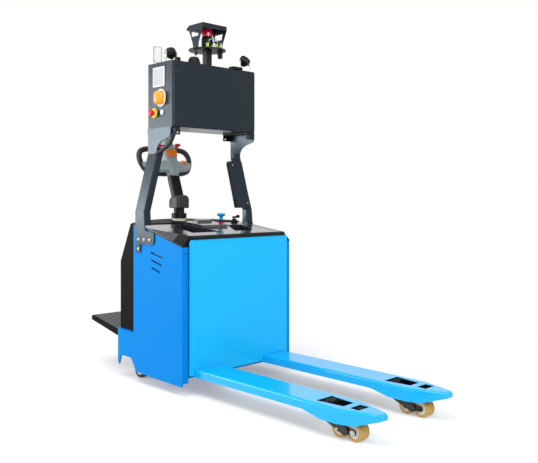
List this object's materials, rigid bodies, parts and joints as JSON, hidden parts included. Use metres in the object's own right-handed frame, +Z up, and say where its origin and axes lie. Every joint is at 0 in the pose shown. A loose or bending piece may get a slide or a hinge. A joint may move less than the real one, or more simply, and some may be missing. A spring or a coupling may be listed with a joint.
{
  "type": "autonomous pallet truck",
  "caption": "Autonomous rider pallet truck: long twin forks with load wheels, boxy body, folding step, tiller, and a control box with lidar mast on a leg gantry.",
  "frame": {"origin": "on the floor, midway along the truck and on its middle plane", "axes": "+X towards the fork tips, +Y to the truck's left, +Z up"},
  "size_m": [2.1322, 0.808, 2],
  "materials": {
    "plate_blue": "gloss",
    "panel_blue": "gloss",
    "fork_blue": "gloss",
    "black_plastic": "satin",
    "black_metal": "satin",
    "cover_black": "matte",
    "deck_grey": "satin",
    "gantry_grey": "satin",
    "steel": "satin",
    "zinc": "satin",
    "roller": "satin",
    "tyre_black": "matte",
    "drive_tread": "matte",
    "tiller_grey": "satin",
    "orange": "gloss",
    "red": "gloss",
    "blue_knob": "gloss",
    "white_plastic": "satin",
    "screen": "gloss",
    "amber": "gloss",
    "cream": "satin",
    "green_button": "gloss",
    "mat_grey": "matte",
    "clear_shield": "satin",
    "plug_green": "gloss"
  },
  "bodies": {
    "chassis": {"chassis_shell": "panel_blue", "rear_cover": "cover_black", "deck_trim": "black_plastic", "top_deck": "deck_grey", "disconnect_socket": "red", "right_leg": "gantry_grey", "left_leg": "gantry_grey", "duct_cover": "black_metal", "bolts": "zinc", "control_box": "gantry_grey", "control_box_cover": "gantry_grey", "display_screen": "screen", "side_bezels": "white_plastic", "beacon_lens": "amber", "lamp_brackets": "black_metal", "box_top_lamps": "black_plastic", "lamp_shield": "clear_shield", "mast": "black_metal", "scanner": "black_plastic", "sensor_hood": "gantry_grey", "mast_plugs": "plug_green", "column_ring": "cream"},
    "carriage": {"load_plate": "plate_blue", "plate_trim": "black_plastic", "right_fork": "fork_blue", "left_fork": "fork_blue", "pivot_pins": "steel"},
    "steering": {"steering_column": "black_metal", "drive_unit": "black_metal"},
    "drive_wheel_body": {"drive_wheel": "drive_tread"},
    "tiller": {"tiller_arm": "black_plastic", "tiller_loops": "black_plastic", "tiller_head": "tiller_grey", "head_plate": "orange"},
    "paddles": {"head_paddles": "red"},
    "belly": {"belly_button": "red"},
    "rockers": {"thumb_rockers": "orange"},
    "lid": {"console_lid": "black_plastic"},
    "disconnect": {"disconnect_knob": "blue_knob"},
    "lever": {"key_lever": "black_plastic"},
    "stop": {"stop_button": "red"},
    "push": {"push_button": "green_button"},
    "step": {"platform": "black_metal", "platform_mat": "mat_grey"},
    "right_arm": {"right_wheel_arm": "black_metal"},
    "right_truck": {"right_wheel_truck": "steel"},
    "right_rod": {"right_push_rod": "zinc"},
    "right_rear_wheel": {"right_rear_roller": "roller"},
    "right_front_wheel": {"right_front_roller": "roller"},
    "right_caster": {"right_caster_fork": "zinc"},
    "right_caster_wheel_body": {"right_caster_wheel": "tyre_black"},
    "right_lamp": {"right_lamp_head": "black_plastic"},
    "left_arm": {"left_wheel_arm": "black_metal"},
    "left_truck": {"left_wheel_truck": "steel"},
    "left_rod": {"left_push_rod": "zinc"},
    "left_rear_wheel": {"left_rear_roller": "roller"},
    "left_front_wheel": {"left_front_roller": "roller"},
    "left_caster": {"left_caster_fork": "zinc"},
    "left_caster_wheel_body": {"left_caster_wheel": "tyre_black"},
    "left_lamp": {"left_lamp_head": "black_plastic"}
  },
  "joints": [
    {"name": "fork_lift", "type": "slide", "parent": "chassis", "child": "carriage", "axis": [0, 0, 1], "range_m": [-0.056, 0.064]},
    {"name": "steer", "type": "hinge", "parent": "chassis", "child": "steering", "pos_m": [-0.648, 0, 0.9], "axis": [0, 0, 1], "range_deg": [-70, 70]},
    {"name": "drive_spin", "type": "hinge", "parent": "steering", "child": "drive_wheel_body", "pos_m": [-0.648, 0, 0.115], "axis": [0, 1, 0], "continuous": true},
    {"name": "tiller_tilt", "type": "hinge", "parent": "steering", "child": "tiller", "pos_m": [-0.648, 0, 0.985], "axis": [0, -1, 0], "range_deg": [-20, 10]},
    {"name": "paddle_turn", "type": "hinge", "parent": "tiller", "child": "paddles", "pos_m": [-0.76002, 0, 1.33372], "axis": [0, 1, 0], "range_deg": [-25, 25], "stiffness_Nm_per_rad": 0.6},
    {"name": "belly_press", "type": "slide", "parent": "tiller", "child": "belly", "axis": [0.342, 0, -0.9397], "range_m": [0, 0.005], "stiffness_N_per_m": 900, "springref_m": -0.001},
    {"name": "rocker_turn", "type": "hinge", "parent": "tiller", "child": "rockers", "pos_m": [-0.74581, 0, 1.23034], "axis": [0, 1, 0], "range_deg": [-12, 12], "stiffness_Nm_per_rad": 0.5},
    {"name": "lid_hinge", "type": "hinge", "parent": "chassis", "child": "lid", "pos_m": [-0.536, 0, 0.8727], "axis": [0, -1, 0], "range_deg": [0, 60]},
    {"name": "disconnect_pull", "type": "slide", "parent": "chassis", "child": "disconnect", "axis": [0, 0, 1], "range_m": [0, 0.012]},
    {"name": "key_turn", "type": "hinge", "parent": "chassis", "child": "lever", "pos_m": [-0.514, 0.322, 0.88], "axis": [0, 0, 1], "range_deg": [0, 90]},
    {"name": "stop_press", "type": "slide", "parent": "chassis", "child": "stop", "axis": [0, 1, 0], "range_m": [0, 0.005], "stiffness_N_per_m": 1500},
    {"name": "button_press", "type": "slide", "parent": "chassis", "child": "push", "axis": [0, 1, 0], "range_m": [0, 0.004], "stiffness_N_per_m": 700},
    {"name": "step_fold", "type": "hinge", "parent": "chassis", "child": "step", "pos_m": [-0.736, 0, 0.246], "axis": [0, 1, 0], "range_deg": [-10, 80], "stiffness_Nm_per_rad": 160, "springref_deg": 11.46},
    {"name": "right_arm_swing", "type": "hinge", "parent": "carriage", "child": "right_arm", "pos_m": [0.724, -0.2425, 0.101], "axis": [0, 1, 0], "range_deg": [-24, 24]},
    {"name": "right_truck_level", "type": "hinge", "parent": "right_arm", "child": "right_truck", "pos_m": [0.88268, -0.2425, 0.04], "axis": [0, 1, 0], "range_deg": [-24, 24]},
    {"name": "right_rod_push", "type": "slide", "parent": "carriage", "child": "right_rod", "axis": [1, 0, 0], "range_m": [-0.009, 0.009]},
    {"name": "right_rear_wheel_spin", "type": "hinge", "parent": "right_truck", "child": "right_rear_wheel", "pos_m": [0.84068, -0.2425, 0.04], "axis": [0, 1, 0], "continuous": true},
    {"name": "right_front_wheel_spin", "type": "hinge", "parent": "right_truck", "child": "right_front_wheel", "pos_m": [0.92468, -0.2425, 0.04], "axis": [0, 1, 0], "continuous": true},
    {"name": "right_caster_swivel", "type": "hinge", "parent": "chassis", "child": "right_caster", "pos_m": [-0.572, -0.292, 0.14], "axis": [0, 0, 1], "continuous": true},
    {"name": "right_caster_spin", "type": "hinge", "parent": "right_caster", "child": "right_caster_wheel_body", "pos_m": [-0.604, -0.292, 0.05], "axis": [0, 1, 0], "continuous": true},
    {"name": "right_lamp_tilt", "type": "hinge", "parent": "chassis", "child": "right_lamp", "pos_m": [-0.414, -0.232, 1.824], "axis": [0, 1, 0], "range_deg": [-30, 30]},
    {"name": "left_arm_swing", "type": "hinge", "parent": "carriage", "child": "left_arm", "pos_m": [0.724, 0.2425, 0.101], "axis": [0, 1, 0], "range_deg": [-24, 24]},
    {"name": "left_truck_level", "type": "hinge", "parent": "left_arm", "child": "left_truck", "pos_m": [0.88268, 0.2425, 0.04], "axis": [0, 1, 0], "range_deg": [-24, 24]},
    {"name": "left_rod_push", "type": "slide", "parent": "carriage", "child": "left_rod", "axis": [1, 0, 0], "range_m": [-0.009, 0.009]},
    {"name": "left_rear_wheel_spin", "type": "hinge", "parent": "left_truck", "child": "left_rear_wheel", "pos_m": [0.84068, 0.2425, 0.04], "axis": [0, 1, 0], "continuous": true},
    {"name": "left_front_wheel_spin", "type": "hinge", "parent": "left_truck", "child": "left_front_wheel", "pos_m": [0.92468, 0.2425, 0.04], "axis": [0, 1, 0], "continuous": true},
    {"name": "left_caster_swivel", "type": "hinge", "parent": "chassis", "child": "left_caster", "pos_m": [-0.572, 0.292, 0.14], "axis": [0, 0, 1], "continuous": true},
    {"name": "left_caster_spin", "type": "hinge", "parent": "left_caster", "child": "left_caster_wheel_body", "pos_m": [-0.604, 0.292, 0.05], "axis": [0, 1, 0], "continuous": true},
    {"name": "left_lamp_tilt", "type": "hinge", "parent": "chassis", "child": "left_lamp", "pos_m": [-0.346, 0.252, 1.824], "axis": [0, 1, 0], "range_deg": [-30, 30]}
  ],
  "couplings": [
    {"joint": "right_arm_swing", "follows": "fork_lift", "rad_per_m": 6.2832},
    {"joint": "right_truck_level", "follows": "fork_lift", "rad_per_m": -6.2832},
    {"joint": "right_rod_push", "follows": "fork_lift", "ratio": 0.13823},
    {"joint": "left_arm_swing", "follows": "fork_lift", "rad_per_m": 6.2832},
    {"joint": "left_truck_level", "follows": "fork_lift", "rad_per_m": -6.2832},
    {"joint": "left_rod_push", "follows": "fork_lift", "ratio": 0.13823}
  ]
}
